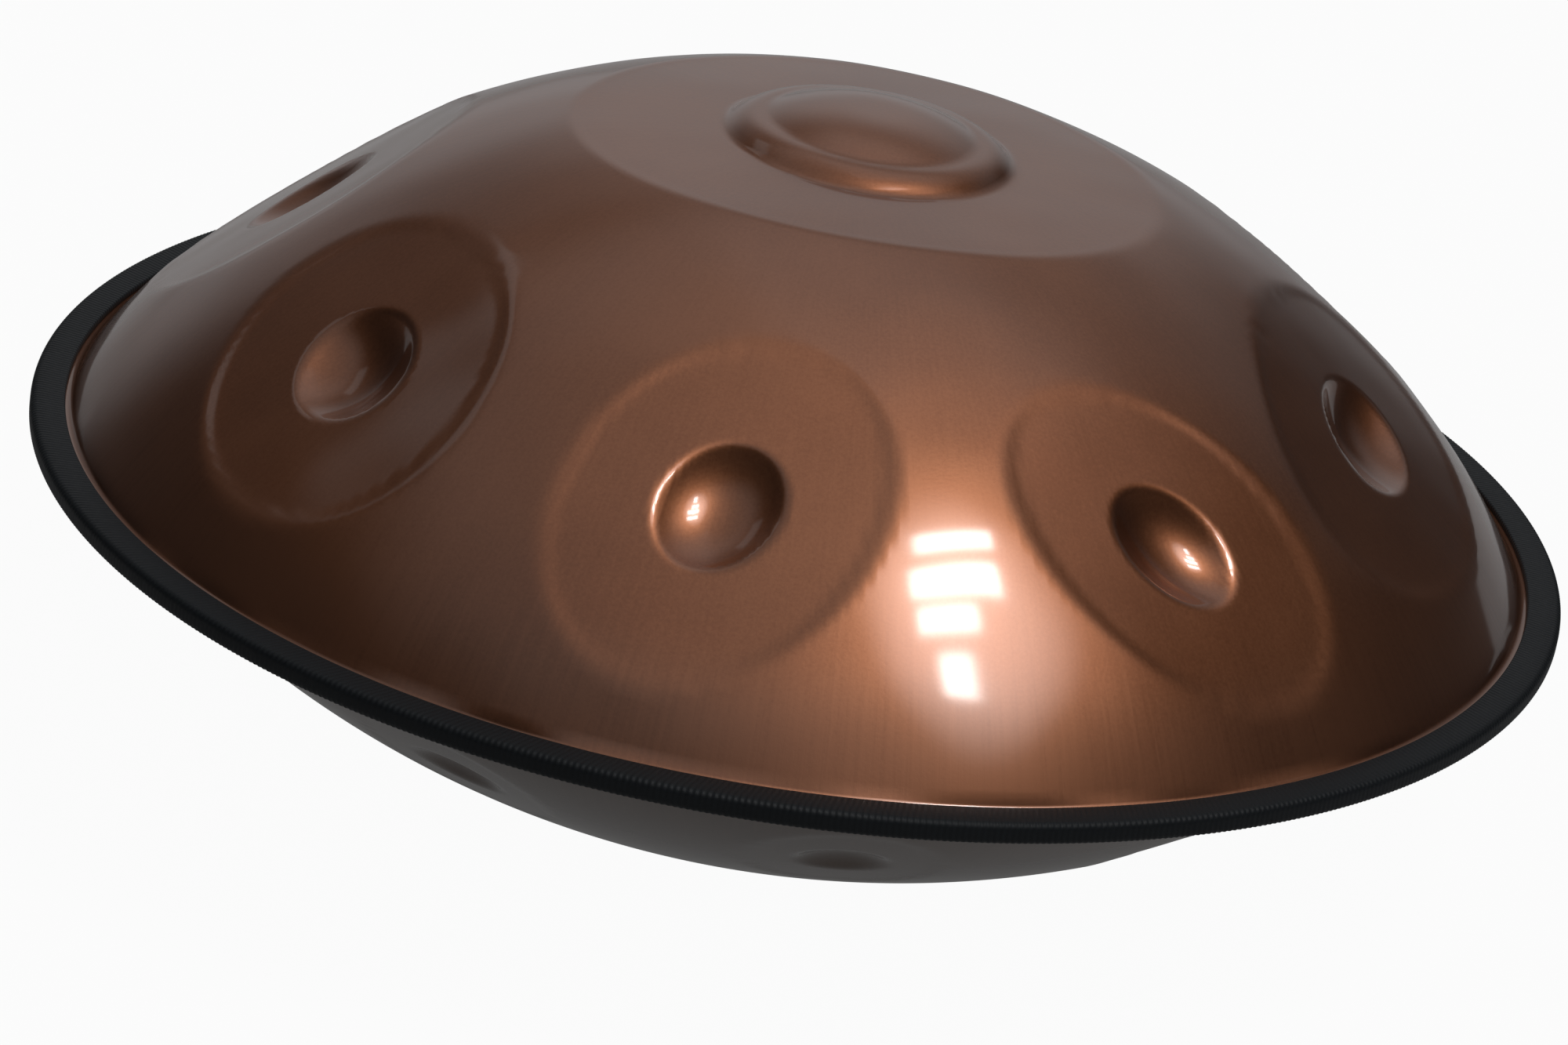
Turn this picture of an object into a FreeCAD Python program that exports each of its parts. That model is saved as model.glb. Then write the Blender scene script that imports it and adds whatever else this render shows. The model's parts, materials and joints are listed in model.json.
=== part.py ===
import FreeCAD, Part
import math
import os
import re

# A handpan: two bowls pressed from steel sheet, glued flange to flange, with a soft edge trim
# over the joint.  Millimetres, +Z up.  The origin is on the axis, in the plane of the flat ring
# round the sound port, which is what the instrument rests on.

DRIVING_SIZES = {
    # sheet and joint
    "rim_radius": 265.0,           # outer edge of both flanges
    "flange_width": 8.0,           # flat margin outside the bowl
    "flange_fillet": 3.0,          # bend between bowl and flange
    "wall": 1.2,                   # steel sheet
    "bond": 0.8,                   # glue line between the flanges
    # upper bowl
    "dome_rise": 136.6,            # natural top of the bowl above the joint
    "ding_field_radius": 90.0,     # flatter field in the middle
    "ding_field_crown": 4.5,       # rise of its middle above its edge
    "ding_shift": 5.5,             # how far it sits towards +X
    "ding_radius": 50.0,           # dome raised in that field
    "ding_rise": 8.0,
    "ding_cap_radius": 30.0,       # second tier, on top of that dome
    "ding_cap_rise": 5.4,
    "note_place": 0.565,           # centre of a tone field, as a share of the tone band
    "note_start": -97.0,           # azimuth of the smallest tone field, in degrees
    "note_dimple_share": 0.4,      # dimple radius over the mean half width of its field
    "note_dimple_depth": 7.0,
    # lower bowl
    "bowl_depth": 116.5,           # natural bottom of the bowl below the joint
    "port_flat_radius": 75.0,      # flat ring round the sound port
    "port_radius": 45.0,           # bore of the sound port
    "port_neck": 20.0,             # height of the neck turned inwards
    "port_bend": 4.0,              # inside radius of the bend at its mouth
    "base_note_place": 0.687,
    "base_note_start": -81.0,
    "base_note_dimple_share": 0.45,
    "base_note_dimple_depth": 3.5,
    # edge trim, and the steel carrier that makes it grip
    "carrier_wall": 0.5,
    "carrier_lip": 5.0,            # reach of the carrier over the flanges
    "carrier_gap": 0.3,            # between the flange edges and the carrier
    "trim_web": 4.2,               # soft wall outside the carrier
    "trim_cover": 1.65,            # soft wall above and below the carrier
    "lip_margin": 1.0,             # bare flange left inside the lips of the trim
    "trim_corner": 2.4,            # rounding of its two outer edges
    "trim_lip_round": 0.8,         # rounding of its two lips
    # spare size of the tools that press the sheet
    "spare": 5.0,
}

# Tone fields in order of azimuth, the smallest first: half length and half width as shares of
# the tone band, and the turn of the long axis away from downhill, in degrees.
NOTES = [
    (0.300, 0.241, -22.0),
    (0.296, 0.216, 35.0),
    (0.350, 0.260, 101.0),
    (0.350, 0.285, 0.0),
    (0.370, 0.300, 0.0),
    (0.355, 0.295, 0.0),
    (0.325, 0.270, 0.0),
    (0.314, 0.266, 46.0),
]
BASE_NOTES = [(0.186, 0.149, 0.0)] * 10

DERIVED_SIZES = {
    "bowl_radius": "rim_radius - flange_width",
    "dome_ball": "(bowl_radius^2 + dome_rise^2) / (2 * dome_rise)",
    "bowl_ball": "(bowl_radius^2 + bowl_depth^2) / (2 * bowl_depth)",
    "joint_height": "bowl_depth - bowl_ball + sqrt(bowl_ball^2 - port_flat_radius^2)",
    "dome_centre": "joint_height + dome_rise - dome_ball",
    "bowl_centre": "joint_height - bowl_depth + bowl_ball",
    "upper_seat": "joint_height + bond / 2",
    "lower_seat": "joint_height - bond / 2",
    "ding_tilt": "asin(ding_shift / dome_ball) / 1deg",
    "ding_edge": "asin(ding_field_radius / dome_ball) / 1deg",
    "dome_edge": "asin(bowl_radius / dome_ball) / 1deg",
    "tone_band": "dome_ball * (dome_edge - ding_edge) * pi / 180",
    "note_tilt": "ding_edge + note_place * (dome_edge - ding_edge)",
    "flat_edge": "asin(port_flat_radius / bowl_ball) / 1deg",
    "bowl_edge": "asin(bowl_radius / bowl_ball) / 1deg",
    "base_tone_band": "bowl_ball * (bowl_edge - flat_edge) * pi / 180",
    "base_note_tilt": "180 - flat_edge - base_note_place * (bowl_edge - flat_edge)",
    "stack": "bond + 2 * wall",
    "carrier_radius": "rim_radius + carrier_gap + carrier_wall",
    "carrier_height": "stack + 2 * carrier_wall",
    "trim_radius": "carrier_radius + trim_web",
    "trim_height": "carrier_height + 2 * trim_cover",
    "trim_lip": "flange_width - lip_margin",
    "ding_field_ball": "(ding_field_radius^2 + ding_field_crown^2) / (2 * ding_field_crown)",
    "ding_field_level": "sqrt(dome_ball^2 - ding_field_radius^2) + ding_field_crown",
    "ding_ball": "(ding_radius^2 + ding_rise^2) / (2 * ding_rise)",
    "ding_cap_ball": "(ding_cap_radius^2 + ding_cap_rise^2) / (2 * ding_cap_rise)",
    "ding_cap_top": "ding_rise + ding_cap_rise - ding_ball + sqrt(ding_ball^2 - ding_cap_radius^2)",
}

doc = FreeCAD.newDocument("Handpan")
sheet = doc.addObject("Spreadsheet::Sheet", "Sizes")
aliases = []


def field_sizes(field, ball):
    """Sag and long-way curvature of a field that is straight along its short axis.

    A ball pressed this way keeps an oval outline of the given half length and half width.
    """
    return {
        f"{field}_sag": f"{field}_short^2 / (2 * {ball})",
        f"{field}_curve": f"1 / (1 / {ball} - 2 * {field}_sag / {field}_long^2)",
    }


def dimple_sizes(field, family):
    """Radius of a field's dimple and of the ball that presses it."""
    depth = f"{family}_dimple_depth"
    return {
        f"{field}_dimple": f"{family}_dimple_share * ({field}_long + {field}_short) / 2",
        f"{field}_punch": f"({field}_dimple^2 + {depth}^2) / (2 * {depth})",
    }


def note_cells(family, notes, band, ball):
    """Driving shares and turn, then derived sizes, of every tone field of one bowl."""
    driving, derived = {}, {}
    for number, (long, short, turn) in enumerate(notes, start=1):
        field = f"{family}_{number}"
        driving[f"{field}_long_share"] = long
        driving[f"{field}_short_share"] = short
        driving[f"{field}_turn"] = turn
        derived[f"{field}_azimuth"] = f"{family}_start + {number - 1} * 360 / {len(notes)}"
        derived[f"{field}_long"] = f"{field}_long_share * {band}"
        derived[f"{field}_short"] = f"{field}_short_share * {band}"
        derived.update(field_sizes(field, ball))
        derived.update(dimple_sizes(field, family))
    return driving, derived


def fill_sheet():
    """Write each driving size as a number and each derived size as a formula."""
    upper = note_cells("note", NOTES, "tone_band", "dome_ball")
    lower = note_cells("base_note", BASE_NOTES, "base_tone_band", "bowl_ball")
    driving = {**DRIVING_SIZES, **upper[0], **lower[0]}
    derived = {**DERIVED_SIZES, **upper[1], **lower[1]}
    cells = {name: str(value) for name, value in driving.items()}
    cells.update({name: "=" + formula for name, formula in derived.items()})
    for row, (name, content) in enumerate(cells.items(), start=1):
        sheet.set(f"A{row}", name)
        sheet.setAlias(f"B{row}", name)
        sheet.set(f"B{row}", content)
        aliases.append(name)
    doc.recompute()


def on_sheet(formula):
    """Point the size names in a formula at the sheet."""
    return re.sub(r"[a-z_]\w*", lambda word: "Sizes." + word[0] if word[0] in aliases else word[0],
                  formula)


def make(kind, name, place, **formulas):
    """Add a Part primitive whose sizes and place follow the sheet."""
    thing = doc.addObject(kind, name)
    for size, formula in formulas.items():
        thing.setExpression(size, on_sheet(formula))
    thing.setExpression("Placement", on_sheet(place))
    return thing


def spot(x="0", y="0", z="0", about="0; 0; 1", angle="0"):
    """A placement formula: a shift, and a turn about one axis."""
    return f"placement(vector({x}; {y}; {z}); rotation(vector({about}); {angle}))"


def cut(name, base, tool):
    thing = doc.addObject("Part::Cut", name)
    thing.Base = base
    thing.Tool = tool
    return thing


def fuse(name, pieces):
    thing = doc.addObject("Part::MultiFuse", name)
    thing.Shapes = pieces
    thing.Refine = True
    return thing


def disc(name, radius, low, height):
    return make("Part::Cylinder", name, spot(z=low), Radius=radius, Height=height)


def ring(name, inner, outer, low, height):
    """A flat ring on the axis."""
    hole = disc(name + "_hole", inner, f"{low} - spare", f"{height} + 2 * spare")
    return cut(name, disc(name + "_blank", outer, low, height), hole)


def zone(name, ball, centre, low, high=None):
    """The part of a ball on the axis between two heights, or above the lower one."""
    top = f"asin(({high} - {centre}) / ({ball}))" if high else "90"
    return make("Part::Sphere", name, spot(z=centre), Radius=ball,
                Angle1=f"asin(({low} - {centre}) / ({ball}))", Angle2=top)


def circles_at(shape, radius, height):
    """Numbers of the full-circle edges round the axis with this radius, at this height."""
    found = []
    for number, edge in enumerate(shape.Edges, start=1):
        if edge.Degenerated or not isinstance(edge.Curve, Part.Circle):
            continue
        box = edge.BoundBox
        level = math.isclose(box.ZMin, height, abs_tol=1e-3) and box.ZLength < 1e-3
        if level and math.isclose(edge.Curve.Radius, radius, abs_tol=1e-2):
            found.append(number)
    return found


def round_circle(name, base, radius, height, rounding):
    """Fillet the circular edge that lies at a radius and a height."""
    doc.recompute()
    thing = doc.addObject("Part::Fillet", name)
    thing.Base = base
    thing.Edges = [(number, rounding, rounding)
                   for number in circles_at(base.Shape, radius, height)]
    return thing


def note_press(name, field, frame, ball, skin):
    """What pressing a tone field takes off the ball: a short plug, less a wide roller below it."""
    reach = f"({field}_long + spare)"
    blank = make("Part::Cylinder", f"{name}_blank",
                 f"{frame} * {spot(z=f'{ball} - {field}_sag - {reach}')}",
                 Radius=reach, Height=f"{reach} + {field}_sag + spare")
    across = spot(y=f"-{reach} - spare", z=f"{ball} - {field}_sag - {field}_curve",
                  about="1; 0; 0", angle="-90")
    roller = make("Part::Cylinder", f"{name}_roller", f"{frame} * {across}",
                  Radius=f"{field}_curve - {skin}", Height=f"2 * ({reach} + spare)")
    return cut(name, blank, roller)


def ding_press(name, frame, skin):
    """The same for the central field, which is round and a little crowned."""
    blank = make("Part::Cylinder", f"{name}_blank",
                 f"{frame} * {spot(z='ding_field_level - ding_field_radius')}",
                 Radius="ding_field_radius + spare", Height="ding_field_radius + 4 * spare")
    former = make("Part::Sphere", f"{name}_former",
                  f"{frame} * {spot(z='ding_field_level - ding_field_ball')}",
                  Radius=f"ding_field_ball - {skin}")
    return cut(name, blank, former)


def dimple_punch(name, field, family, frame, ball, skin):
    """Ball that presses the dimple into the middle of a tone field."""
    height = f"{ball} - {field}_sag - {family}_dimple_depth + {field}_punch"
    return make("Part::Sphere", name, f"{frame} * {spot(z=height)}",
                Radius=f"{field}_punch + {skin}")


def note_tools(side, family, count, ball, centre, skin):
    """Press tools and dimple punches of one bowl, for its outer or its inner skin."""
    tools = []
    for number in range(1, count + 1):
        field = f"{family}_{number}"
        frame = " * ".join([spot(z=centre, angle=f"{field}_azimuth"),
                            spot(about="0; 1; 0", angle=f"{family}_tilt"),
                            spot(angle=f"{field}_turn")])
        tools.append(note_press(f"{field}_{side}", field, frame, ball, skin))
        tools.append(dimple_punch(f"{field}_{side}_punch", field, family, frame, ball, skin))
    return tools


def dome_skin(side, skin, low):
    """Everything under the outer or the inner skin of the upper bowl."""
    bowl = zone(f"dome_{side}_ball", f"dome_ball - {skin}", "dome_centre", low)
    frame = " * ".join([spot(z="dome_centre"), spot(about="0; 1; 0", angle="ding_tilt")])
    tools = [ding_press(f"ding_field_{side}", frame, skin)]
    tools += note_tools(side, "note", len(NOTES), "dome_ball", "dome_centre", skin)
    pressed = cut(f"dome_{side}_pressed", bowl, fuse(f"dome_{side}_tools", tools))
    tiers = []
    for tier, top, ball in (("dome", "ding_rise", "ding_ball"),
                            ("cap", "ding_cap_top", "ding_cap_ball")):
        place = spot(z=f"ding_field_level + {top} - {ball}")
        tiers.append(make("Part::Sphere", f"ding_{tier}_{side}", f"{frame} * {place}",
                          Radius=f"{ball} - {skin}", Angle1=f"asin(1 - 3 * {top} / {ball})"))
    return fuse(f"dome_{side}", [pressed] + tiers)


def top_shell():
    """Upper bowl with the raised ding, its tone fields and the flange."""
    flange = disc("top_flange", "rim_radius", "upper_seat", "wall")
    body = fuse("top_body", [dome_skin("outer", "0", "upper_seat"), flange])
    height = sheet.upper_seat + sheet.wall
    radius = math.sqrt(sheet.dome_ball ** 2 - (height - sheet.dome_centre) ** 2)
    body = round_circle("top_bend", body, radius, height, sheet.flange_fillet)
    return cut("top_shell", body, dome_skin("inner", "wall", "upper_seat - spare"))


def bowl_skin(side, skin, low, high):
    """Everything inside the outer or the inner skin of the lower bowl."""
    bowl = zone(f"bowl_{side}_ball", f"bowl_ball - {skin}", "bowl_centre", low, high)
    tools = note_tools(side, "base_note", len(BASE_NOTES), "bowl_ball", "bowl_centre", skin)
    return cut(f"bowl_{side}", bowl, fuse(f"bowl_{side}_tools", tools))


def bottom_shell():
    """Lower bowl with the flat ring, the neck of the sound port, tone fields and the flange."""
    flange = disc("bottom_flange", "rim_radius", "lower_seat - wall", "wall")
    body = fuse("bottom_body", [bowl_skin("outer", "0", "0", "lower_seat"), flange])
    height = sheet.lower_seat - sheet.wall
    radius = math.sqrt(sheet.bowl_ball ** 2 - (sheet.bowl_centre - height) ** 2)
    body = round_circle("bottom_bend", body, radius, height, sheet.flange_fillet)
    body = cut("bottom_hollow", body, bowl_skin("inner", "wall", "wall", "(lower_seat + spare)"))
    body = cut("bottom_pierced", body, disc("port_hole", "port_radius", "-spare", "2 * spare"))
    neck = ring("port_neck_tube", "port_radius", "port_radius + wall", "0", "port_neck")
    body = fuse("bottom_necked", [body, neck])
    body = round_circle("port_inner_bend", body, sheet.port_radius + sheet.wall, sheet.wall,
                        sheet.port_bend)
    return round_circle("bottom_shell", body, sheet.port_radius, 0, sheet.port_bend + sheet.wall)


def rim_adhesive():
    """Glue line between the two flanges."""
    return ring("rim_adhesive", "bowl_radius", "rim_radius", "lower_seat", "bond")


def trim_carrier():
    """Steel channel in the trim, which clamps it on the flanges."""
    low = "joint_height - carrier_height / 2"
    blank = ring("carrier_blank", "rim_radius - carrier_lip", "carrier_radius", low,
                 "carrier_height")
    slot = disc("carrier_slot", "rim_radius + carrier_gap", "joint_height - stack / 2", "stack")
    return cut("trim_carrier", blank, slot)


def edge_trim():
    """Soft channel over the carrier and both flanges, rounded at its edges."""
    low = "joint_height - trim_height / 2"
    body = ring("trim_blank", "rim_radius - trim_lip", "trim_radius", low, "trim_height")
    for end, height in (("low", sheet.joint_height - sheet.trim_height / 2),
                        ("high", sheet.joint_height + sheet.trim_height / 2)):
        body = round_circle(f"trim_outer_{end}", body, sheet.trim_radius, height,
                            sheet.trim_corner)
        body = round_circle(f"trim_inner_{end}", body, sheet.rim_radius - sheet.trim_lip, height,
                            sheet.trim_lip_round)
    room = ring("trim_room", "rim_radius - carrier_lip", "carrier_radius",
                "joint_height - carrier_height / 2", "carrier_height")
    mouth = disc("trim_mouth", "rim_radius", "joint_height - stack / 2", "stack")
    return cut("edge_trim", body, fuse("trim_channel", [room, mouth]))


def check_and_write(parts):
    """Stop at any failed feature or bad shape, then write one STEP file per sub-part."""
    doc.recompute()
    for thing in doc.Objects:
        if "Invalid" in thing.State or "Error" in thing.State:
            raise RuntimeError(f"{thing.Name} failed: {thing.State}")
    for part in parts:
        part.Label = part.Name
        if part.Shape.isNull() or not part.Shape.isValid():
            raise RuntimeError(f"{part.Name} has a bad shape")
    os.makedirs("parts", exist_ok=True)
    for part in parts:
        part.Shape.exportStep(f"parts/{part.Name}.step")
        box = part.Shape.BoundBox
        print(f"{part.Name}: {len(part.Shape.Solids)} solid, {part.Shape.Volume / 1000:.1f} cm3, "
              f"radius {box.XLength / 2:.1f}, height {box.ZMin:.2f} to {box.ZMax:.2f}")


fill_sheet()
check_and_write([top_shell(), bottom_shell(), rim_adhesive(), trim_carrier(), edge_trim()])
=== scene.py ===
# %% [markdown]
# # A handpan around its measured frame
# The instrument is two pressed steel bowls glued rim to rim, with a soft trim over the joint. The
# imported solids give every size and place. What they lack is the way a hammered and polished skin
# looks: soft creases round the tone fields, round lips on the hollows, a lacquered copper colour.
# So the bowls and the trim are made again here as smooth skins, inside the same box.

import json
import math

import bpy
import numpy as np
from mathutils import Matrix, Vector

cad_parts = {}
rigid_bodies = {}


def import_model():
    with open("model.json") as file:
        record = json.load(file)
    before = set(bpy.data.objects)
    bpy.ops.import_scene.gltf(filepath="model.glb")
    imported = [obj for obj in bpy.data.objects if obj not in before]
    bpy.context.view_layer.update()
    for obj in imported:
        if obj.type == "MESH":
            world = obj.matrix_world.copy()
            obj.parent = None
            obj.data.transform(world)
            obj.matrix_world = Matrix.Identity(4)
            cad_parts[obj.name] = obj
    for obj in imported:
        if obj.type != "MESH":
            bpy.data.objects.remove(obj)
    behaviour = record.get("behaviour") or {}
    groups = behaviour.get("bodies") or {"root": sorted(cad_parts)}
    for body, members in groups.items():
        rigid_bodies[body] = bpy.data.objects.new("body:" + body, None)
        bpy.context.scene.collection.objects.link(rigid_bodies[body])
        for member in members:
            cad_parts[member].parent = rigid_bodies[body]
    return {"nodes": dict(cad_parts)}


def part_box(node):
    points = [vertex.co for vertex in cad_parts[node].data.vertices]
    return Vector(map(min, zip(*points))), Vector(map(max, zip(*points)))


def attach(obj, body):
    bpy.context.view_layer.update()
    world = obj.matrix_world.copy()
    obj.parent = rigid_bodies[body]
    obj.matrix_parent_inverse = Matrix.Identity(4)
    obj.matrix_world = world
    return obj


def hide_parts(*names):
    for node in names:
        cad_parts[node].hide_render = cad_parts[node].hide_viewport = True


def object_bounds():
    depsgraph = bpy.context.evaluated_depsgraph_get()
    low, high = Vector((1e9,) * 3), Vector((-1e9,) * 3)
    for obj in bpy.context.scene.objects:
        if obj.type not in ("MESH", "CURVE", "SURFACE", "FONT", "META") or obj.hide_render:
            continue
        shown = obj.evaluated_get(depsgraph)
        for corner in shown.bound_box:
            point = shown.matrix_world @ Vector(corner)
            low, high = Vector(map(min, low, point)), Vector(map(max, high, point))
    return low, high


for leftover in list(bpy.data.objects):
    bpy.data.objects.remove(leftover)
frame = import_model()
cad_low, cad_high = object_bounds()
print("solids:", ", ".join(sorted(frame["nodes"])))

# %% [markdown]
# ## Driving sizes
# Everything hangs on the joint plane between the two flanges and on the radius of the bowls. Both
# are read from the solids of the glue line and the trim. A bowl is close to a piece of a ball, so
# its rise and its mouth give the ball: radius = (mouth^2 + rise^2) / (2 rise).

# %% Joint, bowls and balls
mm = 0.001
glue_low, glue_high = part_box("rim_adhesive")
trim_low, trim_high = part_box("edge_trim")
joint_height = (glue_low.z + glue_high.z) / 2
trim_radius = trim_high.x
rim_radius = trim_radius - 5 * mm
mouth_radius = rim_radius - 8 * mm
wall = 1.2 * mm
bend = 3 * mm


def ball_radius(mouth, rise):
    """Radius of the ball whose cap has this mouth radius and this rise."""
    return (mouth ** 2 + rise ** 2) / (2 * rise)


dome_rise, bowl_depth = 136.6 * mm, 116.5 * mm
dome_ball = ball_radius(mouth_radius, dome_rise)
bowl_ball = ball_radius(mouth_radius, bowl_depth)
dome_centre = joint_height + dome_rise - dome_ball
bowl_centre = joint_height - bowl_depth + bowl_ball
print(f"joint at {joint_height / mm:.1f} mm, balls {dome_ball / mm:.1f} and {bowl_ball / mm:.1f} mm")

# %% [markdown]
# ## Directions, soft edges and uneven spacing
# Every point of a bowl is reached from the centre of its ball along a direction, so the whole skin
# is one number per direction: how far out the metal lies. Pressing a field makes that number
# smaller, and where two shapes meet, a soft minimum rounds the crease as the hammer does. The grid
# is finer where the metal bends tightly, because polished metal shows every facet.

# %% Directions and blends
def unit(polar, azimuth):
    """Unit vectors (sin p cos a, sin p sin a, cos p) for a polar angle p and an azimuth a."""
    polar, azimuth = np.broadcast_arrays(polar, azimuth)
    flat = np.sin(polar)
    return np.stack([flat * np.cos(azimuth), flat * np.sin(azimuth), np.cos(polar)], axis=-1)


def soft_min(first, second, blend):
    """The smaller value, less blend * share^2 / 4 where the two are nearer than the blend."""
    share = np.clip(1 - np.abs(first - second) / blend, 0, None)
    return np.minimum(first, second) - blend * share ** 2 / 4


def soft_max(first, second, blend):
    """The larger value, with the same rounding."""
    return -soft_min(-first, -second, blend)


def smooth_step(t):
    """0 below t = 0, 1 above t = 1, and 3 t^2 - 2 t^3 between them."""
    t = np.clip(t, 0, 1)
    return t * t * (3 - 2 * t)


weight_samples = 6000


def spread(start, stop, count, weight):
    """Samples from start to stop at equal steps of the running sum of weight(t)."""
    t = np.linspace(start, stop, weight_samples)
    density = weight(t)
    steps = (density[1:] + density[:-1]) / 2 * np.diff(t)
    total = np.concatenate([[0], np.cumsum(steps)])
    return np.interp(np.linspace(0, total[-1], count), total, t)


def bumps(t, places, width):
    """Sum of bell curves exp(-((t - place) / width)^2), one at each place."""
    return sum(np.exp(-((t - place) / width) ** 2) for place in places)


# %% [markdown]
# ## A grid becomes a mesh
# A skin is a stack of rings round the axis. Rings are joined by quads, a single point closes each
# pole, and a skin whose last ring meets its first one closes on itself. The rings run so that
# the way along the skin, crossed with the way round, points out of the metal.

# %% Ring mesh
def ring_mesh(name, rings, poles):
    """Join rings[i, j] into quads (i, j), (i+1, j), (i+1, j+1), (i, j+1).

    With poles, a fan closes each end; without them, the last ring is joined to the first."""
    count, around = rings.shape[:2]
    here = np.arange(around)
    after = np.roll(here, -1)
    rows = np.arange(count - 1 if poles else count)
    low = rows[:, None] * around
    high = ((rows + 1) % count)[:, None] * around
    quads = np.stack([low + here, high + here, high + after, low + after], axis=-1).reshape(-1, 4)
    points = rings.reshape(-1, 3)
    faces = quads.tolist()
    if poles:
        first, last = len(points), (count - 1) * around
        points = np.vstack([points, rings[0].mean(axis=0), rings[-1].mean(axis=0)])
        faces += np.stack([np.full(around, first), here, after], axis=-1).tolist()
        faces += np.stack([np.full(around, first + 1), last + after, last + here], axis=-1).tolist()
    mesh = bpy.data.meshes.new(name)
    mesh.from_pydata(points.tolist(), [], faces)
    mesh.polygons.foreach_set("use_smooth", np.ones(len(faces), bool))
    mesh.update()
    piece = bpy.data.objects.new(name, mesh)
    bpy.context.scene.collection.objects.link(piece)
    print(f"{name}: {sum(len(face) - 2 for face in faces)} triangles")
    return piece


# %% [markdown]
# ## Tone fields
# A tone field is an oval that is flatter than the ball round it, with a hollow pressed in its
# middle. Its dish is level - u^2 / 2R - v^2 / 2S along the field's own normal, where u and v run
# along and across the oval. Along a direction d from the centre of the ball that is a quadratic,
# and its root says where the dish lies. A flatter dish gives a crisper crease, so the radii R and S
# follow from the outline that the crease has to have.

# %% Dish of one field
out_of_reach = 10.0
hollow_power = 2.2
crease_end, crease_width = 1.035, 0.08


def field_axes(azimuth, tilt, turn):
    """Normal, long axis and short axis of a field, its long axis turned away from downhill."""
    normal = unit(tilt, azimuth)
    downhill = unit(tilt + math.pi / 2, azimuth)
    along = np.array([-math.sin(azimuth), math.cos(azimuth), 0.0])
    long_axis = math.cos(turn) * downhill + math.sin(turn) * along
    short_axis = math.cos(turn) * along - math.sin(turn) * downhill
    return normal, long_axis, short_axis


def dish_reach(directions, axes, level, long_curve, short_curve):
    """Distance t to the dish, and the place (u, v) where each direction meets it.

    q t^2 + n t - level = 0, with n = d.normal and q = (d.long)^2 / 2R + (d.short)^2 / 2S.
    Directions more than 60 degrees from the normal are put out of reach of every field."""
    toward, u, v = (directions @ axis for axis in axes)
    q = u ** 2 / (2 * long_curve) + v ** 2 / (2 * short_curve)
    t = 2 * level / (toward + np.sqrt(toward ** 2 + 4 * q * level))
    t = np.where(toward > 0.5, t, out_of_reach)
    return t, u * t, v * t


def dish_sizes(ball, long_half, short_half, flatness):
    """Level and radii of the dish whose crease on the ball has these half lengths.

    The short way keeps the share (1 - flatness) of the ball's own curvature."""
    short_curve = ball / (1 - flatness)
    sag = short_half ** 2 / 2 * (1 / ball - 1 / short_curve)
    long_curve = 1 / (1 / ball - 2 * sag / long_half ** 2)
    return ball - sag, long_curve, short_curve


def hollow(u, v, half_u, half_v, depth, power, lip):
    """Depth of a pressed hollow: depth (1 - w^power) inside w = 1, with a rounded lip."""
    w = np.sqrt((u / half_u) ** 2 + (v / half_v) ** 2)
    return soft_max(depth * (1 - w ** power), 0 * w, lip)


def press_fields(directions, ball, fields, flatness, step, lip):
    """Reach of a ball after its tone fields are pressed into it.

    Inside w = 1 the skin follows the dish, sunk by the step; a soft wall joins it to the ball."""
    reach = np.full(directions.shape[:-1], ball)
    for azimuth, tilt, turn, halves, dent, depth in fields:
        axes = field_axes(azimuth, tilt, turn)
        dish, u, v = dish_reach(directions, axes, *dish_sizes(ball, *halves, flatness))
        w = np.sqrt((u / halves[0]) ** 2 + (v / halves[1]) ** 2)
        inside = smooth_step((crease_end - w) / crease_width)
        pressed = dish - step - hollow(u, v, *dent, depth, hollow_power, lip)
        reach = reach + (pressed - reach) * inside
    return reach


# %% [markdown]
# ## Where the notes lie
# Eight fields stand in a ring, about an eighth of a turn apart. A small one rings high and a large
# one rings low, and most of the large ones lie at the sides and the back. Each row gives the
# azimuth, the distance from the axis, the half length and half width, and the turn of the oval away
# from downhill. A hollow takes the same share of every field, a little over a third of its length
# and of its width.

# %% Notes of the upper bowl
dimple_long, dimple_short, dimple_depth = 0.37, 0.39, 7.8 * mm
note_table = [
    # azimuth, distance from the axis, half length, half width, turn
    (-97, 195, 65, 50, -20),
    (-52, 200, 65, 45, 35),
    (-12, 195, 75, 55, 105),
    (34, 195, 70, 55, 90),
    (81, 195, 75, 60, 90),
    (126, 185, 65, 65, 90),
    (169, 195, 70, 65, 90),
    (219, 195, 65, 55, 45),
]
note_fields = [
    (math.radians(azimuth), math.asin(out * mm / dome_ball), math.radians(turn),
     (long * mm, short * mm), (dimple_long * long * mm, dimple_short * short * mm), dimple_depth)
    for azimuth, out, long, short, turn in note_table
]
print(f"{len(note_fields)} notes, {min(r for _, r, *_ in note_table)} mm or more from the axis")

# %% [markdown]
# ## The ding
# The lowest note sits in the middle. Its field is wide and slightly crowned, and the metal inside
# it is driven up instead of down: a steep foot, a low swelling over all of it, and a smaller dome
# in the middle. Each of them rises by its share of the lift, along a smooth step of the way in
# from its foot. The way is raised to a power below one, which makes the foot steeper than the top.

# %% Shape of the ding
ding_level = dome_ball - 9.8 * mm
ding_lift = cad_high.z - dome_centre - ding_level
ding_halves = np.array([102 * mm, 90 * mm])
ding_offset, ding_step = 5.5 * mm, 0.3 * mm
ding_crease_end, ding_crease_width = 1.03, 0.05
foot_power = 0.58
ding_tiers = [
    # radius of the foot, width of the slope, share of the lift
    (50.5 * mm, 12.0 * mm, 0.44),
    (50.0 * mm, 50.0 * mm, 0.10),
    (36.0 * mm, 28.0 * mm, 0.46),
]


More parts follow.
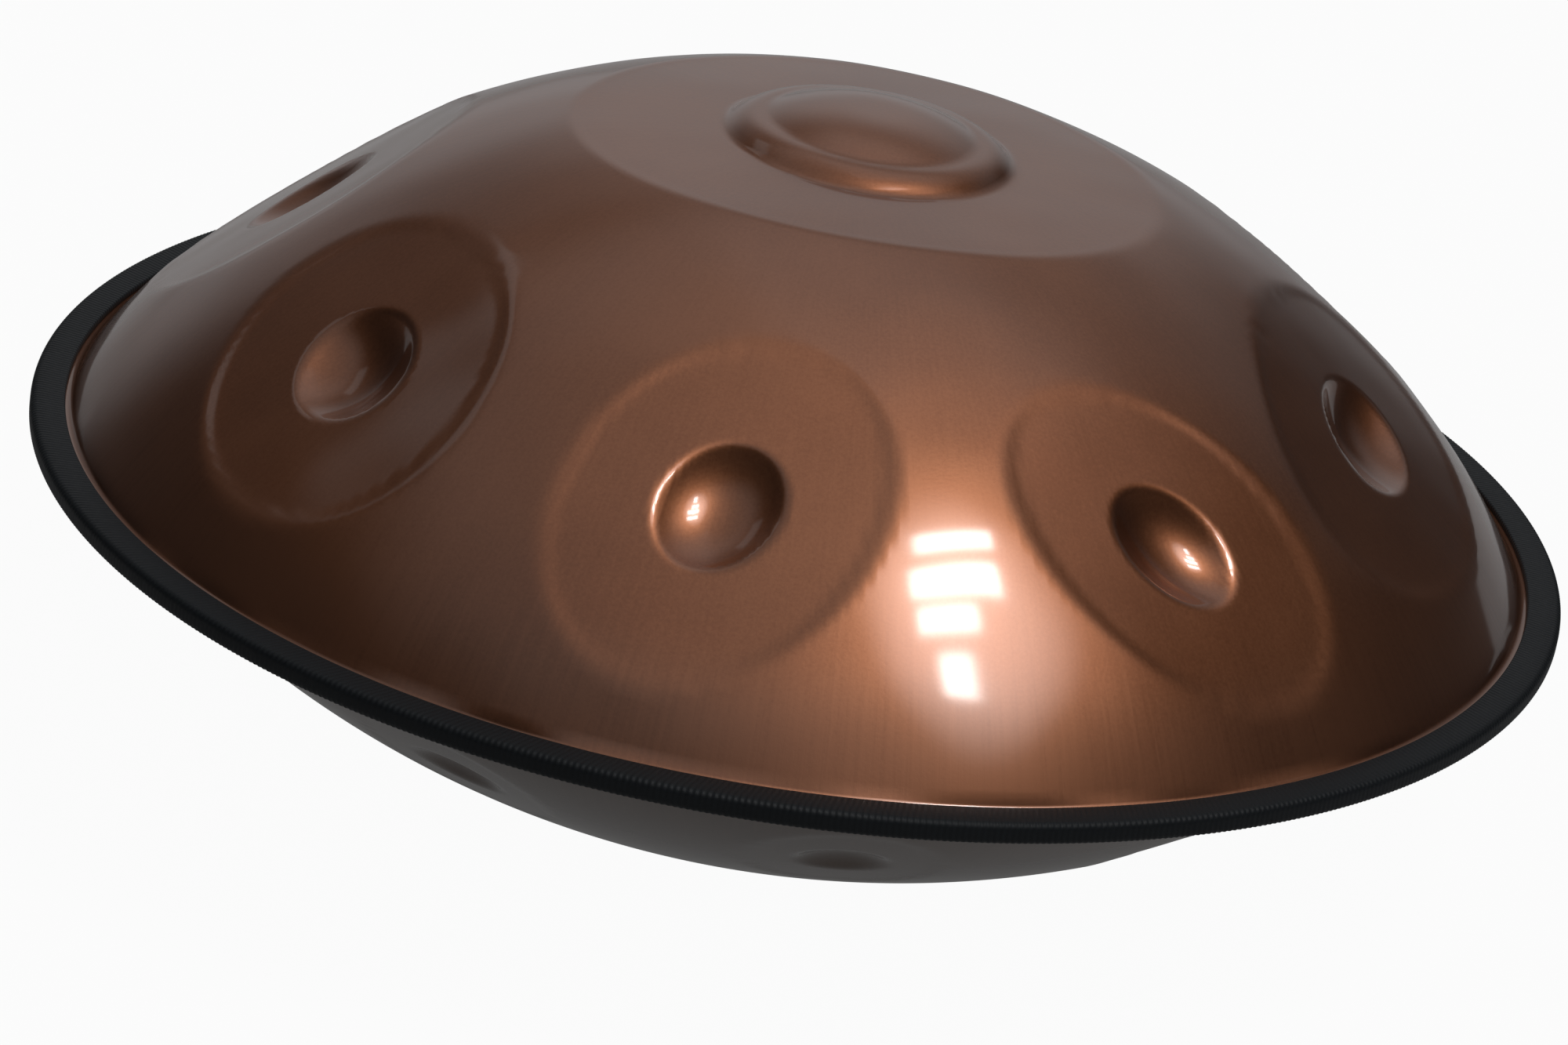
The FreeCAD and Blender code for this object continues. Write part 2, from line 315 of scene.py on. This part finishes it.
def press_ding(directions, reach):
    """Flatten the middle of the ball to the ding's field, then raise the metal of its tiers.

    The dish meets the ball at w = 1, so its radii are halves^2 / (2 (level - height of the ball))."""
    curves = ding_halves ** 2 / (2 * (ding_level - np.sqrt(dome_ball ** 2 - ding_halves ** 2)))
    axes = field_axes(0.0, ding_offset / dome_ball, 0.0)
    dish, u, v = dish_reach(directions, axes, ding_level, *curves)
    w = np.sqrt((u / ding_halves[0]) ** 2 + (v / ding_halves[1]) ** 2)
    inside = smooth_step((ding_crease_end - w) / ding_crease_width)
    reach = reach + (dish - ding_step - reach) * inside
    radius = np.sqrt(u ** 2 + v ** 2)
    for foot, width, share in ding_tiers:
        climb = np.clip((foot - radius) / width, 0, 1) ** foot_power
        reach = reach + share * ding_lift * smooth_step(climb)
    return reach


# %% [markdown]
# ## Hammer marks
# Sheet that was tuned by hand is never quite smooth. The marks are small, but they bend every
# reflection. Thirty waves in fixed chance directions add up to such a surface. Each is a few
# hundredths of a millimetre high at most: height = sum of size * sin(k . place + phase), with
# lengths from 28 to 90 mm.

# %% Uneven skin
wave_count, hammer_slope = 30, 0.003
chance = np.random.default_rng(7)
wave_axes = chance.normal(size=(wave_count, 3))
wave_axes /= np.linalg.norm(wave_axes, axis=1, keepdims=True)
wave_lengths = chance.uniform(28, 90, wave_count) * mm
wave_phases = chance.uniform(0, 2 * math.pi, wave_count)


def hammer_marks(directions, ball, slope):
    """Small uneven height; each wave's height is slope * length / 2 pi, so all tilt alike."""
    height = np.zeros(directions.shape[:-1])
    for axis, length, phase in zip(wave_axes, wave_lengths, wave_phases):
        turns = 2 * math.pi / length
        height += np.sin(directions @ axis * ball * turns + phase) * slope / turns
    return height


# %% [markdown]
# ## Sheet metal turned round the axis
# At the mouth the sheet bends out into a flat flange. The bend is an arc that touches the ball and
# the flange: its centre lies one bend radius above the flange, and a ball radius plus a bend radius
# from the centre of the ball. Rings that carry no note are a plain profile turned round the axis.

# %% Bend, arcs and turned rings
def rim_bend(ball, drop):
    """Radius of the bend's centre, and the polar angle where it leaves the ball.

    drop is the height of the bend's centre beyond the centre of the ball."""
    out = math.sqrt((ball + bend) ** 2 - drop ** 2)
    return out, math.atan2(out, drop)


def arc(centre, radius, start, stop, count):
    """Profile points centre + radius (sin a, cos a), for a from start to stop."""
    a = np.linspace(start, stop, count)
    return np.stack([centre[0] + radius * np.sin(a), centre[1] + radius * np.cos(a)], axis=-1)


def turned(profile, azimuth):
    """Rings of a turned profile: each (radius, height) carried round the axis."""
    radius, height = np.asarray(profile, float).T
    x = radius[:, None] * np.cos(azimuth)
    y = radius[:, None] * np.sin(azimuth)
    return np.stack([x, y, np.broadcast_to(height[:, None], x.shape)], axis=-1)


def crowded(count, lobes, first, strength):
    """Azimuths that crowd round the notes: a = s - strength sin(lobes (s - first)) / lobes."""
    s = np.linspace(0, 2 * math.pi, count, endpoint=False) + first
    return s - strength * np.sin(lobes * (s - first)) / lobes


# %% [markdown]
# ## The upper bowl
# The skin runs from the top of the ding down to the bend, out along the flange, round its edge and
# back up inside, one wall thickness deeper, so the bowl is a closed sheet of metal. The inside is
# left coarser, because it is only seen through the sound port.

# %% Upper bowl
flatness = 0.9
note_step, note_lip = 0.7 * mm, 0.6 * mm
note_first = math.radians(note_table[0][0])


def dome_reach(directions):
    """Outer skin of the upper bowl: distance from the centre of its ball."""
    pressed = press_fields(directions, dome_ball, note_fields, flatness, note_step, note_lip)
    return press_ding(directions, pressed) + hammer_marks(directions, dome_ball, hammer_slope)


def dome_weight(polar):
    """Finer rings over the hollows, the tiers of the ding and its crease."""
    radius = dome_ball * np.sin(polar)
    return (1 + 1.6 * bumps(radius, [174 * mm, 195 * mm, 216 * mm], 16 * mm)
            + 1.6 * bumps(radius, [30 * mm, 50 * mm], 10 * mm)
            + 1.0 * bumps(radius, [90 * mm, 100 * mm], 8 * mm))


dome_azimuth = crowded(520, len(note_fields), note_first, 0.5)
dome_up = np.array([0, 0, dome_centre])
upper_face = glue_high.z + wall
upper_out, upper_leave = rim_bend(dome_ball, upper_face + bend - dome_centre)
outer_dirs = unit(spread(0.0015, upper_leave, 126, dome_weight)[:, None], dome_azimuth)
inner_dirs = unit(spread(0.004, upper_leave, 42, dome_weight)[::-1, None], dome_azimuth)
upper_edge = (upper_out, upper_face + bend)
upper_bowl = ring_mesh("upper_bowl", np.concatenate([
    outer_dirs * dome_reach(outer_dirs)[..., None] + dome_up,
    turned(arc(upper_edge, bend, math.pi + upper_leave, math.pi, 7)[1:], dome_azimuth),
    turned([(rim_radius, upper_face), (rim_radius, glue_high.z)], dome_azimuth),
    turned(arc(upper_edge, bend + wall, math.pi, math.pi + upper_leave, 4), dome_azimuth),
    inner_dirs * (dome_reach(inner_dirs) - wall)[..., None] + dome_up,
]), poles=True)
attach(upper_bowl, "root")
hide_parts("top_shell")

# %% [markdown]
# ## The lower bowl
# The lower bowl carries ten small notes and the sound port: a flat ring to stand on, with its inner
# edge turned up into a short neck. It is worked out with its ball above it, so its directions point
# down. The loop goes up the inside, round the flange, down the outside, and up through the port.

# %% Lower bowl
base_count, base_first, base_ring = 10, -81, 208 * mm
base_halves, base_dimple, base_depth = (40.0 * mm, 32.0 * mm), (16.2 * mm, 15.0 * mm), 3.5 * mm
base_step, base_lip = 0.3 * mm, 0.8 * mm
base_fields = [
    (math.radians(base_first + 360 / base_count * i), math.asin(base_ring / bowl_ball), 0.0,
     base_halves, base_dimple, base_depth)
    for i in range(base_count)
]
flat_radius, flat_start, flat_round = 75 * mm, 62 * mm, 0.25 * mm
port_radius, port_neck, port_bend = 45 * mm, 20 * mm, 4 * mm
mirrored = np.array([1, 1, -1])
bowl_up = np.array([0, 0, bowl_centre])
bowl_azimuth = crowded(480, base_count, math.radians(base_first), 0.45)
lower_face = glue_low.z - wall
lower_out, lower_leave = rim_bend(bowl_ball, bowl_centre - (lower_face - bend))


def bowl_reach(directions):
    """Reach of the lower bowl's skin, cut off softly by the flat ring at height 0."""
    pressed = press_fields(directions, bowl_ball, base_fields, flatness, base_step, base_lip)
    level = bowl_centre / directions[..., 2]
    return soft_min(pressed, level, flat_round)


def bowl_weight(polar):
    """Finer rings over the notes and the edge of the flat ring."""
    radius = bowl_ball * np.sin(polar)
    return (1 + 1.2 * bumps(radius, [195 * mm, base_ring, 221 * mm], 12 * mm)
            + 2.0 * bumps(radius, [flat_radius + 1 * mm], 6 * mm))


bowl_start = math.asin(flat_start / bowl_ball)
bowl_polar = spread(bowl_start, lower_leave, 96, bowl_weight)[::-1]
bowl_dirs = unit(bowl_polar[1:, None], bowl_azimuth)
core_dirs = unit(np.linspace(bowl_start, lower_leave, 30)[:, None], bowl_azimuth)
lower_edge = (lower_out, lower_face - bend)
mouth = (port_radius + wall + port_bend, wall + port_bend)
lower_bowl = ring_mesh("lower_bowl", np.concatenate([
    turned([(port_radius + wall, port_neck)], bowl_azimuth),
    turned(arc(mouth, port_bend, 1.5 * math.pi, math.pi, 6), bowl_azimuth),
    core_dirs * (bowl_reach(core_dirs) - wall)[..., None] * mirrored + bowl_up,
    turned(arc(lower_edge, bend + wall, -lower_leave, 0, 4), bowl_azimuth),
    turned([(rim_radius, glue_low.z), (rim_radius, lower_face)], bowl_azimuth),
    turned(arc(lower_edge, bend, 0, -lower_leave, 7), bowl_azimuth),
    bowl_dirs * bowl_reach(bowl_dirs)[..., None] * mirrored + bowl_up,
    turned(arc(mouth, port_bend + wall, math.pi, 1.5 * math.pi, 9), bowl_azimuth),
    turned([(port_radius, port_neck)], bowl_azimuth),
]), poles=False)
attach(lower_bowl, "root")
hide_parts("bottom_shell")

# %% [markdown]
# ## The edge trim
# A moulded channel of soft black rubber grips the joint. Its outer face carries fine ribs, two
# millimetres apart, that bite deepest at the two outer corners. The profile is a closed loop: over
# the top, down the outside, back underneath, and round the channel that holds the flanges.

# %% Edge trim
stack = glue_high.z - glue_low.z + 2 * wall
carrier_low, carrier_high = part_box("trim_carrier")
lip_radius = rim_radius - 7 * mm
half_trim, half_stack = (trim_high.z - trim_low.z) / 2, stack / 2
corner, lip_round, carrier_lip = 2.4 * mm, 0.8 * mm, 5 * mm
rib_count = 848
bite_in, bite_down = 0.9, 0.45


def trim_profile():
    """Upper half of the loop, then its mirror image; each row is (radius, height, rib depth)."""
    lip = arc((lip_radius + lip_round, half_trim - lip_round), lip_round, -math.pi / 2, 0, 4)
    outer = arc((trim_radius - corner, half_trim - corner), corner, 0, math.pi / 2, 6)
    room = (carrier_high.z - carrier_low.z) / 2
    inside = [(carrier_high.x, room), (rim_radius - carrier_lip, room),
              (rim_radius - carrier_lip, half_stack), (lip_radius, half_stack)]
    over = np.vstack([lip, [((lip_radius + trim_radius) / 2, half_trim)], outer])
    bite = np.concatenate([[0, 0, 0.02, 0.04, 0.1], [0.16, 0.24, 0.28, 0.28, 0.24, 0.2]]) * mm
    upper = np.column_stack([over, bite])
    lower = upper[::-1] * [1, -1, 1]
    channel = np.column_stack([inside[::-1], np.zeros(4)])
    back = channel[::-1]
    return np.vstack([upper, lower, channel * [1, -1, 1], back])


trim = trim_profile()
trim_azimuth = np.linspace(0, 2 * math.pi, 4 * rib_count, endpoint=False)
groove = (0.5 - 0.5 * np.cos(rib_count * trim_azimuth)) * trim[:, 2:3]
rings = turned(trim[:, :2] + [0, joint_height], trim_azimuth)
inward = np.stack([-np.cos(trim_azimuth), -np.sin(trim_azimuth), 0 * trim_azimuth], axis=-1)
from_middle = np.sign(trim[:, 1])[:, None, None] * [0, 0, bite_down]
rings = rings + groove[..., None] * (inward * bite_in - from_middle)
edge_trim = ring_mesh("ribbed_trim", rings, poles=False)
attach(edge_trim, "root")
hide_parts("edge_trim")

# %% [markdown]
# ## Shader maths as expressions
# A material is a graph of nodes, and its sums read badly as a list of links. This small class wraps
# a socket, so that a sum of sockets and numbers writes its own Math nodes.

# %% Socket arithmetic
class Wire:
    """One output of a node; + - * / with numbers or other wires add Math nodes."""

    def __init__(self, tree, socket):
        self.tree, self.socket = tree, socket

    def math(self, operation, *values):
        """Add a Math node with these values or wires on its inputs."""
        made = self.tree.nodes.new("ShaderNodeMath")
        made.operation = operation
        for place, value in enumerate(values):
            join(self.tree, value, made.inputs[place])
        return Wire(self.tree, made.outputs[0])

    def __add__(self, other):
        return self.math("ADD", self, other)

    def __sub__(self, other):
        return self.math("SUBTRACT", self, other)

    def __mul__(self, other):
        return self.math("MULTIPLY", self, other)

    def __truediv__(self, other):
        return self.math("DIVIDE", self, other)

    def __radd__(self, other):
        return self.math("ADD", other, self)

    def __rsub__(self, other):
        return self.math("SUBTRACT", other, self)

    def __rmul__(self, other):
        return self.math("MULTIPLY", other, self)

    def power(self, exponent):
        return self.math("POWER", self, exponent)

    def sine(self):
        return self.math("SINE", self)

    def ramp(self, low, high):
        """0 below low, 1 above high, smooth between them."""
        return add_node(self.tree, "ShaderNodeMapRange", {"interpolation_type": "SMOOTHSTEP"},
                        Value=self, **{"From Min": low, "From Max": high})


def join(tree, value, socket):
    """Link a wire to a socket, or set the socket to a plain value."""
    if isinstance(value, Wire):
        tree.links.new(value.socket, socket)
    else:
        socket.default_value = value


def add_node(tree, kind, settings=None, output=0, **inputs):
    """Any node by its type: settings first, then the values or links of its inputs.

    An input is given by its name, or as a number, such as _6, where its name is shared."""
    made = tree.nodes.new(kind)
    for name, value in (settings or {}).items():
        setattr(made, name, value)
    for name, value in inputs.items():
        key = int(name[1:]) if name[0] == "_" else name
        join(tree, value, made.inputs[key])
    return Wire(tree, made.outputs[output])


def mix_colour(tree, factor, first, second):
    """Colour between first and second."""
    return add_node(tree, "ShaderNodeMix", {"data_type": "RGBA"}, 2,
                    _0=factor, _6=first, _7=second)


def new_material(name):
    """Empty material: its node tree and the wire that carries Object coordinates."""
    material = bpy.data.materials.new(name)
    material.use_nodes = True
    tree = material.node_tree
    tree.nodes.clear()
    place = add_node(tree, "ShaderNodeTexCoord", None, 3)
    return material, tree, place


def finish_material(tree, shader):
    """Send a shader to the material's output."""
    join(tree, shader, tree.nodes.new("ShaderNodeOutputMaterial").inputs["Surface"])


def flat_parts(tree, place):
    """The x and y of a place."""
    x = add_node(tree, "ShaderNodeSeparateXYZ", None, "X", _0=place)
    return x, Wire(tree, x.socket.node.outputs["Y"])


def noise(tree, place, scale, detail=2.0, rough=0.5):
    """Fractal noise about 0.5 at so many lumps a metre."""
    return add_node(tree, "ShaderNodeTexNoise", None, 0,
                    Vector=place, Scale=scale, Detail=detail, Roughness=rough)


axis_hair = 1e-6


def polar_place(tree, place, around, along):
    """Coordinates that stretch a pattern along the meridians, with no seam.

    The direction round the axis, (x, y) / r, is scaled by around, and r by along. A hair is added
    under the root, so that the axis itself divides by more than nothing."""
    x, y = flat_parts(tree, place)
    r = (x * x + y * y + axis_hair).power(0.5)
    made = add_node(tree, "ShaderNodeCombineXYZ", None, 0,
                    X=x / r * around, Y=y / r * around, Z=r * along)
    return made, r


# %% [markdown]
# ## Lacquered copper finish
# The steel is plated copper brown, brushed, and sealed under clear lacquer. The lacquer gives a
# sharp pale reflection, and the brushed metal under it a wide warm one, so the shader is a rough
# metal with a smooth coat. The brown is mottled by heat and hand polishing: large soft clouds, fine
# speckle, and streaks that run down from the top, strongest in the band beside the rim. The lower
# bowl gets the same copper, painted much darker and greyer as painted shade, under the same lacquer.

# %% Finish of both bowls
def bowl_finish(name, dark, light, edge):
    """Rough metal under a clear coat, with clouds, speckle and meridional streaks.

    dark and light are the two ends of its mottling, and edge is its colour beside the rim."""
    material, tree, place = new_material(name)
    streak_place, r = polar_place(tree, place, 90.0, 12.0)
    clouds = noise(tree, place, 9.0, 3.0, 0.55)
    speckle = noise(tree, place, 900.0, 2.0, 0.6)
    streaks = noise(tree, streak_place, 1.6, 3.0, 0.6)
    band = r.ramp(0.225, 0.25)
    tone = clouds * 0.8 + speckle * 0.35 + streaks * (0.15 + band * 0.35)
    share = tone.ramp(0.42, 0.95)
    colour = mix_colour(tree, share, dark, light)
    colour = mix_colour(tree, band * 0.45, colour, edge)
    rough = 0.35 + clouds * 0.06 + speckle * 0.07 + band * 0.04
    height = speckle * 0.4 + streaks * (0.1 + band * 0.6)
    grain = add_node(tree, "ShaderNodeBump", None, 0, Strength=0.25, Distance=0.0002, Height=height)
    shader = add_node(tree, "ShaderNodeBsdfPrincipled", None, 0, **{
        "Base Color": colour, "Metallic": 1.0, "Roughness": rough, "Normal": grain,
        "Coat Weight": 1.0, "Coat Roughness": 0.09, "Coat IOR": 1.6})
    finish_material(tree, shader)
    return material


copper = bowl_finish("lacquered_copper", (0.25, 0.090, 0.040, 1), (0.36, 0.140, 0.066, 1),
                     (0.15, 0.072, 0.045, 1))
# The lower bowl's copper is painted darker and greyer: painted shade for its shaded underside.
painted_shade_copper = bowl_finish("copper_with_painted_shade", (0.120, 0.082, 0.062, 1), (0.180, 0.126, 0.098, 1),
                     (0.100, 0.080, 0.070, 1))
upper_bowl.data.materials.append(copper)
lower_bowl.data.materials.append(painted_shade_copper)
print("copper finish:", len(copper.node_tree.nodes), "nodes")

# %% [markdown]
# ## Rubber, steel and glue
# The trim is moulded rubber with a faint blue cast, and fine slanted lines cross its top face, one
# to each rib. The carrier inside it is bare steel strip, drawn lengthways. The glue is a cured
# amber resin. The last two hide inside the joint, but they are finished like the rest.

# %% Trim, carrier and glue finishes
def rubber_finish():
    """Matt black rubber with slanted lines: sin(ribs * angle + slant * radius)."""
    material, tree, place = new_material("edge_rubber")
    x, y = flat_parts(tree, place)
    angle = x.math("ARCTAN2", y, x)
    r = (x * x + y * y).power(0.5)
    lines = (angle * rib_count + r * 900.0).sine() * 0.5 + 0.5
    dust = noise(tree, place, 700.0, 3.0, 0.6)
    cloud = noise(tree, place, 25.0, 2.0)
    share = dust * 0.5 + cloud * 0.5
    colour = mix_colour(tree, share, (0.005, 0.0062, 0.0075, 1), (0.013, 0.0155, 0.018, 1))
    colour = mix_colour(tree, lines * 0.35, colour, (0.0045, 0.0055, 0.0065, 1))
    height = lines * 0.7 + dust * 0.3
    grain = add_node(tree, "ShaderNodeBump", None, 0, Strength=0.5, Distance=0.0003, Height=height)
    shader = add_node(tree, "ShaderNodeBsdfPrincipled", None, 0, **{
        "Base Color": colour, "Roughness": 0.46 + dust * 0.16, "Normal": grain,
        "Specular IOR Level": 0.2})
    finish_material(tree, shader)
    return material


def steel_finish():
    """Bare strip steel: fine lines drawn round the rim, so stretched along the way round."""
    material, tree, place = new_material("carrier_steel")
    lines_place, _ = polar_place(tree, place, 3.0, 2500.0)
    lines = noise(tree, lines_place, 1.0, 3.0)
    spots = noise(tree, place, 120.0, 3.0)
    share = lines * 0.6 + spots * 0.4
    colour = mix_colour(tree, share, (0.36, 0.36, 0.36, 1), (0.56, 0.56, 0.55, 1))
    grain = add_node(tree, "ShaderNodeBump", None, 0, Strength=0.2, Distance=0.0001, Height=lines)
    shader = add_node(tree, "ShaderNodeBsdfPrincipled", None, 0, **{
        "Base Color": colour, "Metallic": 1.0, "Roughness": 0.3 + lines * 0.2, "Normal": grain})
    finish_material(tree, shader)
    return material


def glue_finish():
    """Cured resin: cloudy amber, slightly glossy, with small bubbles in its surface."""
    material, tree, place = new_material("joint_glue")
    cloud = noise(tree, place, 60.0, 3.0)
    bubbles = noise(tree, place, 800.0, 1.0)
    colour = mix_colour(tree, cloud, (0.22, 0.15, 0.07, 1), (0.38, 0.29, 0.16, 1))
    grain = add_node(tree, "ShaderNodeBump", None, 0, Strength=0.3, Distance=0.0002, Height=bubbles)
    shader = add_node(tree, "ShaderNodeBsdfPrincipled", None, 0, **{
        "Base Color": colour, "Roughness": 0.25 + bubbles * 0.2, "Normal": grain})
    finish_material(tree, shader)
    return material


def cover(node, material):
    """Give a carried-over solid one material in place of the one it came with."""
    solid = frame["nodes"][node]
    solid.data.materials.clear()
    solid.data.materials.append(material)
    print(node, "wears", material.name)


edge_trim.data.materials.append(rubber_finish())
cover("trim_carrier", steel_finish())
cover("rim_adhesive", glue_finish())

# %% [markdown]
# ## The room
# Polished metal is made of what it reflects, so the room matters more than the lamps. It has a
# glowing ceiling, a pale wall behind the instrument with a glow above it, both shaded to the left, a
# narrow panel high on the left, and an oval glow round the place of the light. Below the horizon it
# is a nearly even grey. The world's own coordinate is the direction of the ray, so each of these is a soft
# step in that direction. A camera ray that misses everything sees plain white.

# %% Room
world = bpy.data.worlds.new("room")
bpy.context.scene.world = world
world.use_nodes = True
sky = world.node_tree
sky.nodes.clear()
toward = add_node(sky, "ShaderNodeTexCoord", None, 0)


def along(axis):
    """How far a ray points along a fixed direction."""
    return add_node(sky, "ShaderNodeVectorMath", {"operation": "DOT_PRODUCT"}, 1,
                    _0=toward, _1=Vector(axis).normalized())


height = along((0, 0, 1))
hair = 0.0001
level = (1 + hair - height * height).power(0.5)
behind, west = along((0, 1, 0)) / level, along((-1, 0, 0)) / level
facing = along((-0.156, 0.988, 0)) / level
lamp_side = Vector((0.37, -0.30, 0.88)).normalized()
ceiling = along((-0.05, -0.06, 1)).ramp(0.62, 0.86)
back_wall = facing.ramp(0.74, 0.99) * (1 - height.ramp(0.3, 0.75)) * height.ramp(-0.35, 0.1)
back_glow = behind.ramp(0.35, 0.98) * height.ramp(0.25, 0.55)
shade = 1 - west.ramp(0.15, 0.5) * height.ramp(0.2, 0.45) * 0.55
panel = west.ramp(0.60, 0.68) * (1 - west.ramp(0.93, 0.97)) * behind.ramp(0.1, 0.2)
panel = panel * height.ramp(0.585, 0.63) * (1 - height.ramp(0.69, 0.74))
sideways = Vector((0.92, 0.39, 0))
pane_across = (sideways - lamp_side * lamp_side.dot(sideways)).normalized()
pane_down = pane_across.cross(lamp_side)
halo_across, halo_down = along(pane_across) / 0.25, along(pane_down) / 0.32
halo = (1 - halo_across * halo_across - halo_down * halo_down).ramp(0, 1)
halo = halo * along(lamp_side).ramp(0.5, 0.6)
glow = 0.02 + ceiling * 0.29 + (back_wall * 0.36 + back_glow * 0.23) * shade + panel * 0.35
glow = glow + halo * 3.8 + (1 - height.ramp(-0.10, -0.03)) * 0.35
room = add_node(sky, "ShaderNodeBackground", None, 0, Color=(0.97, 0.98, 1.0, 1), Strength=glow)
white = add_node(sky, "ShaderNodeBackground", None, 0, Color=(1, 1, 1, 1), Strength=1.0)
seen = add_node(sky, "ShaderNodeLightPath", None, "Is Camera Ray")
either = add_node(sky, "ShaderNodeMixShader", None, 0, _0=seen, _1=room, _2=white)
join(sky, either, sky.nodes.new("ShaderNodeOutputWorld").inputs[0])
print("room:", len(sky.nodes), "nodes")

# %% [markdown]
# ## The floor
# The floor is pale and matt. The camera sees it almost plain white, with a trace of its real
# shading left in, which is where the soft shadow under the instrument comes from. Polished metal
# sees a small share of that white in it.

# %% Floor
floor_half = 12
white_to_camera, white_to_gloss = 0.96, 0.11


def floor_finish():
    """Matt grey card, mixed with plain white for the camera and a little for reflections."""
    material, tree, place = new_material("pale_floor")
    fibres = noise(tree, place, 400.0, 2.0)
    colour = mix_colour(tree, fibres, (0.36, 0.36, 0.36, 1), (0.42, 0.42, 0.42, 1))
    card = add_node(tree, "ShaderNodeBsdfPrincipled", None, 0,
                    **{"Base Color": colour, "Roughness": 0.9})
    bright = add_node(tree, "ShaderNodeEmission", None, 0, Color=(1, 1, 1, 1), Strength=1.0)
    camera_ray = add_node(tree, "ShaderNodeLightPath", None, "Is Camera Ray")
    glossy_ray = Wire(tree, camera_ray.socket.node.outputs["Is Glossy Ray"])
    share = camera_ray * white_to_camera + glossy_ray * white_to_gloss
    finish_material(tree, add_node(tree, "ShaderNodeMixShader", None, 0,
                                   _0=share, _1=card, _2=bright))
    return material


floor_mesh = bpy.data.meshes.new("floor")
floor_corners = [(x * floor_half, y * floor_half, 0) for x, y in ((-1, -1), (1, -1), (1, 1), (-1, 1))]
floor_mesh.from_pydata(floor_corners, [], [(0, 1, 2, 3)])
floor = bpy.data.objects.new("floor", floor_mesh)
bpy.context.scene.collection.objects.link(floor)
floor_mesh.materials.append(floor_finish())
print("floor", [round(v, 2) for v in floor.dimensions])

# %% [markdown]
# ## Overhead panes
# The one light hangs to the front right: four bright panes, with the soft glow of the room behind
# them. An area lamp shows in reflections at its true size, so the gaps between the panes are seen
# in the lacquer.

# %% Overhead light
pane_distance, pane_radiance = 1.6, 19
pane_turn = Matrix((pane_across, -pane_down, lamp_side)).transposed().to_quaternion()


def hang(name, down, aside, width, drop):
    """Area lamp that faces the instrument; its power is radiance * pi * area."""
    lamp = bpy.data.lights.new(name, "AREA")
    lamp.shape = "RECTANGLE"
    lamp.size, lamp.size_y = width, drop
    lamp.energy = pane_radiance * math.pi * width * drop
    pane = bpy.data.objects.new(name, lamp)
    pane.rotation_mode = "QUATERNION"
    pane.rotation_quaternion = pane_turn
    middle = Vector((0, 0, joint_height)) + lamp_side * pane_distance
    pane.location = middle + pane_down * down + pane_across * aside
    bpy.context.scene.collection.objects.link(pane)


panes = [
    # down, aside, width, drop
    (-0.090, -0.037, 0.30, 0.090),
    (0.070, -0.055, 0.32, 0.105),
    (0.200, -0.100, 0.20, 0.085),
    (0.375, -0.085, 0.10, 0.140),
]
for index, (down, aside, width, drop) in enumerate(panes):
    hang(f"pane_{index}", down, aside, width, drop)
print("four panes, stacked towards", [round(v, 2) for v in pane_down])

# %% [markdown]
# ## The camera
# A long lens looks down at the instrument from the player's side, from about 1.8 m. The picture is
# rolled a little, so the rim runs downhill to the right.

# %% Camera
elevation, distance, focal_length = 22.77, 1.808, 117.76


def turned_about(axis, degrees):
    """Rotation about an axis."""
    return Matrix.Rotation(math.radians(degrees), 3, axis)


def view_axes(elevation, pan, tilt, roll):
    """Right, up and forward of a camera that looks at the middle, then pans, tilts and rolls."""
    e = math.radians(elevation)
    forward, right = Vector((0, math.cos(e), -math.sin(e))), Vector((1, 0, 0))
    up = right.cross(forward)
    forward, right = turned_about(up, pan) @ forward, turned_about(up, pan) @ right
    forward, up = turned_about(right, tilt) @ forward, turned_about(right, tilt) @ up
    right, up = turned_about(forward, roll) @ right, turned_about(forward, roll) @ up
    return right, up, forward


aim = Vector((0, 0, joint_height - 1.87 * mm))
right, up, forward = view_axes(elevation, pan=0.10, tilt=-0.52, roll=-9.14)
lens = bpy.data.cameras.new("view")
lens.lens, lens.sensor_width = focal_length, 36
lens.clip_start, lens.clip_end = 0.05, 50
camera = bpy.data.objects.new("view", lens)
camera.rotation_mode = "QUATERNION"
camera.rotation_quaternion = Matrix((right, up, -forward)).transposed().to_quaternion()
lift = math.radians(elevation)
camera.location = aim + Vector((0, -math.cos(lift), math.sin(lift))) * distance
bpy.context.scene.collection.objects.link(camera)
bpy.context.scene.camera = camera
bpy.context.scene.view_settings.view_transform = "Standard"
print("camera at", [round(v, 3) for v in camera.location])

# %% [markdown]
# ## The box of the solids
# The skins were made from the same sizes as the solids, so their box should be the same. The box
# of the solids is printed.

# %% Box of the solids
print("solids", [round(v / mm, 2) for v in (*cad_low, *cad_high)])
